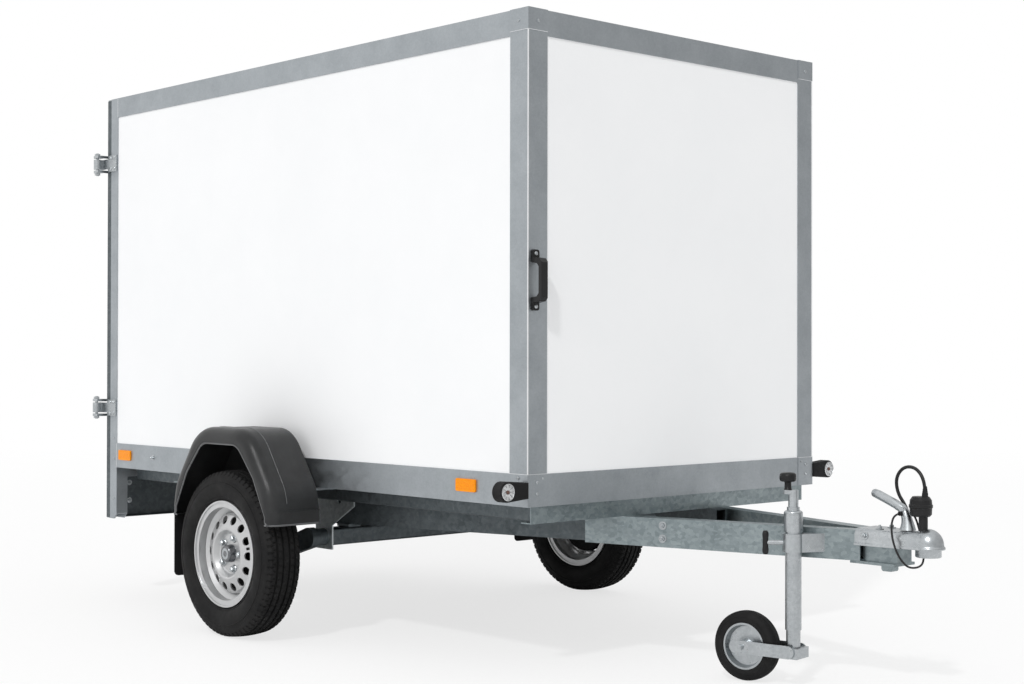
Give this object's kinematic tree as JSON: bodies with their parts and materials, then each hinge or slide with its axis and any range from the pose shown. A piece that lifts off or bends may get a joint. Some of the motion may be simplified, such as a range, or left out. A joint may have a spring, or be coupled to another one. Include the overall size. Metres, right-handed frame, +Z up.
{
  "type": "box trailer",
  "caption": "Closed box trailer on a single axle, with a V drawbar, ball coupling, jockey wheel, mudguards and double rear doors.",
  "frame": {"origin": "centre of the outline on the floor that the wheels stand on", "axes": "+X forward to the coupling, +Y to the left-hand side, +Z up"},
  "size_m": [3.546, 1.89, 2.0235],
  "materials": {
    "zinc": "dull hot-dip zinc",
    "white_panel": "smooth white faced board",
    "floor_board": "dark faced plywood",
    "black_plastic": "satin black plastic",
    "black_rubber": "matt black rubber",
    "tyre": "matt black tyre rubber",
    "rim": "silver paint",
    "amber_lens": "moulded amber reflector",
    "clear_lens": "clear moulded lens",
    "red_lens": "red moulded lens"
  },
  "bodies": {
    "body": {"floor": "floor_board", "wall_left": "white_panel", "wall_right": "white_panel", "wall_front": "white_panel", "roof": "white_panel", "front_posts": "zinc", "top_rails": "zinc", "bottom_rails": "zinc", "corner_caps": "zinc", "rear_posts": "zinc", "rear_crossbars": "zinc", "light_board": "zinc", "tail_lamps": "black_plastic", "tail_lenses": "red_lens", "grab_handle": "black_plastic", "side_reflectors": "amber_lens", "marker_arms": "black_rubber", "marker_lenses": "clear_lens", "marker_lenses_rear": "red_lens", "door_hinge_plates": "zinc", "drawbar_front_arms": "zinc", "drawbar_rear_arms": "zinc", "cross_members": "zinc", "axle_tube": "zinc", "axle_brackets": "zinc", "axle_saddles": "zinc", "swing_arms": "zinc", "mudguards": "black_plastic", "mudguard_stays": "zinc", "mud_flaps": "black_rubber", "coupling_nose": "zinc", "coupling_body": "zinc", "coupling_handle": "zinc", "plug_holder": "black_plastic", "jockey_tube": "zinc", "jockey_crank": "zinc", "jockey_knob": "black_plastic", "jockey_clamp": "zinc", "lead": "black_rubber", "plug": "black_plastic", "safety_cable": "black_rubber"},
    "door_right": {"door_right_frame": "zinc", "door_right_panel": "white_panel", "door_right_hinges": "zinc", "lock_bar_right": "zinc"},
    "wheel_right": {"tyre_right": "tyre", "rim_right": "rim", "hub_right": "zinc"},
    "door_left": {"door_left_frame": "zinc", "door_left_panel": "white_panel", "door_left_hinges": "zinc", "lock_bar_left": "zinc"},
    "wheel_left": {"tyre_left": "tyre", "rim_left": "rim", "hub_left": "zinc"},
    "jockey_slider": {"jockey_leg": "zinc"},
    "jockey_castor": {"jockey_fork": "zinc"},
    "jockey_wheel": {"jockey_rim": "zinc", "jockey_tyre": "tyre"}
  },
  "joints": [
    {"name": "wheel_right_spin", "type": "hinge", "parent": "body", "child": "wheel_right", "pos_m": [-0.498, -0.861, 0.289], "axis": [0, 1, 0], "continuous": true},
    {"name": "wheel_left_spin", "type": "hinge", "parent": "body", "child": "wheel_left", "pos_m": [-0.498, 0.861, 0.289], "axis": [0, 1, 0], "continuous": true},
    {"name": "door_right_hinge", "type": "hinge", "parent": "body", "child": "door_right", "pos_m": [-1.758, -0.72, 1.261], "axis": [0, 0, 1], "range_deg": [0, 270]},
    {"name": "door_left_hinge", "type": "hinge", "parent": "body", "child": "door_left", "pos_m": [-1.758, 0.72, 1.261], "axis": [0, 0, -1], "range_deg": [0, 270]},
    {"name": "jockey_lift", "type": "slide", "parent": "body", "child": "jockey_slider", "axis": [0, 0, 1], "range_m": [-0.15, 0.045]},
    {"name": "jockey_swivel", "type": "hinge", "parent": "jockey_slider", "child": "jockey_castor", "pos_m": [1.36, -0.14986, 0.105], "axis": [0, 0, 1], "continuous": true},
    {"name": "jockey_wheel_spin", "type": "hinge", "parent": "jockey_castor", "child": "jockey_wheel", "pos_m": [1.20691, -0.17411, 0.105], "axis": [0.1564, -0.9877, 0], "continuous": true}
  ]
}
